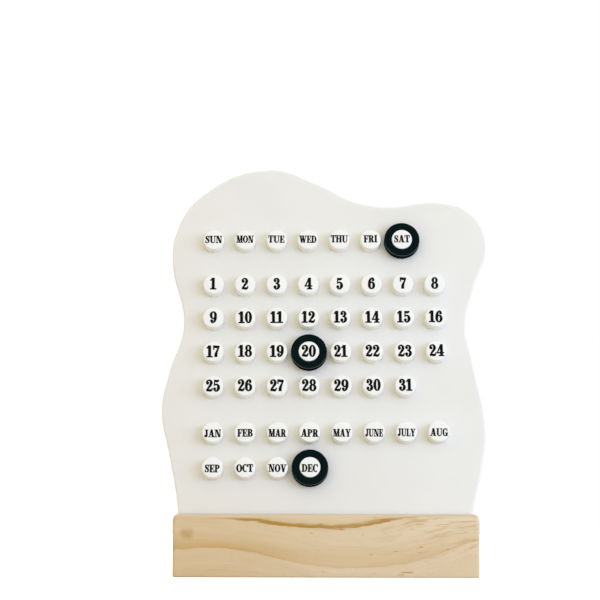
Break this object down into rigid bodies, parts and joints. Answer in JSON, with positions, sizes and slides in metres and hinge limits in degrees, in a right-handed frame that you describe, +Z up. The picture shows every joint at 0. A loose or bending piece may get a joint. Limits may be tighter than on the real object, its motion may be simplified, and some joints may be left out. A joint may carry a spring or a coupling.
{
  "type": "perpetual peg calendar",
  "caption": "Desk calendar with a wavy upright panel leaning in a slotted wood block, round printed pegs for weekdays, dates and months, and loose rings that mark the day.",
  "frame": {"origin": "centre of the wood block's underside", "axes": "+Z up, +X to the right as the user reads the calendar, -Y towards the user"},
  "size_m": [0.2029, 0.0605, 0.2571],
  "materials": {
    "pine": "planed and sanded pale pine, clear, matt",
    "panel_acrylic": "off-white cast acrylic sheet, satin",
    "peg_white": "white moulded disc, soft gloss, printed in black",
    "ring_black": "black moulded ring, polished"
  },
  "bodies": {
    "base": {"base_block": "pine"},
    "panel": {"wavy_panel": "panel_acrylic", "weekday_peg_sun": "peg_white", "weekday_peg_mon": "peg_white", "weekday_peg_tue": "peg_white", "weekday_peg_wed": "peg_white", "weekday_peg_thu": "peg_white", "weekday_peg_fri": "peg_white", "weekday_peg_sat": "peg_white", "date_peg_01": "peg_white", "date_peg_02": "peg_white", "date_peg_03": "peg_white", "date_peg_04": "peg_white", "date_peg_05": "peg_white", "date_peg_06": "peg_white", "date_peg_07": "peg_white", "date_peg_08": "peg_white", "date_peg_09": "peg_white", "date_peg_10": "peg_white", "date_peg_11": "peg_white", "date_peg_12": "peg_white", "date_peg_13": "peg_white", "date_peg_14": "peg_white", "date_peg_15": "peg_white", "date_peg_16": "peg_white", "date_peg_17": "peg_white", "date_peg_18": "peg_white", "date_peg_19": "peg_white", "date_peg_20": "peg_white", "date_peg_21": "peg_white", "date_peg_22": "peg_white", "date_peg_23": "peg_white", "date_peg_24": "peg_white", "date_peg_25": "peg_white", "date_peg_26": "peg_white", "date_peg_27": "peg_white", "date_peg_28": "peg_white", "date_peg_29": "peg_white", "date_peg_30": "peg_white", "date_peg_31": "peg_white", "month_peg_jan": "peg_white", "month_peg_feb": "peg_white", "month_peg_mar": "peg_white", "month_peg_apr": "peg_white", "month_peg_may": "peg_white", "month_peg_jun": "peg_white", "month_peg_jul": "peg_white", "month_peg_aug": "peg_white", "month_peg_sep": "peg_white", "month_peg_oct": "peg_white", "month_peg_nov": "peg_white", "month_peg_dec": "peg_white"},
    "weekday_ring": {"weekday_ring": "ring_black"},
    "date_ring": {"date_ring": "ring_black"},
    "month_ring": {"month_ring": "ring_black"}
  },
  "joints": [
    {"name": "panel_lift", "type": "slide", "parent": "base", "child": "panel", "axis": [0, 0.2079, 0.9781], "range_m": [0, 0.03]},
    {"name": "weekday_ring_pull", "type": "slide", "parent": "panel", "child": "weekday_ring", "axis": [0, -0.9781, 0.2079], "range_m": [0, 0.025]},
    {"name": "date_ring_pull", "type": "slide", "parent": "panel", "child": "date_ring", "axis": [0, -0.9781, 0.2079], "range_m": [0, 0.025]},
    {"name": "month_ring_pull", "type": "slide", "parent": "panel", "child": "month_ring", "axis": [0, -0.9781, 0.2079], "range_m": [0, 0.025]}
  ]
}
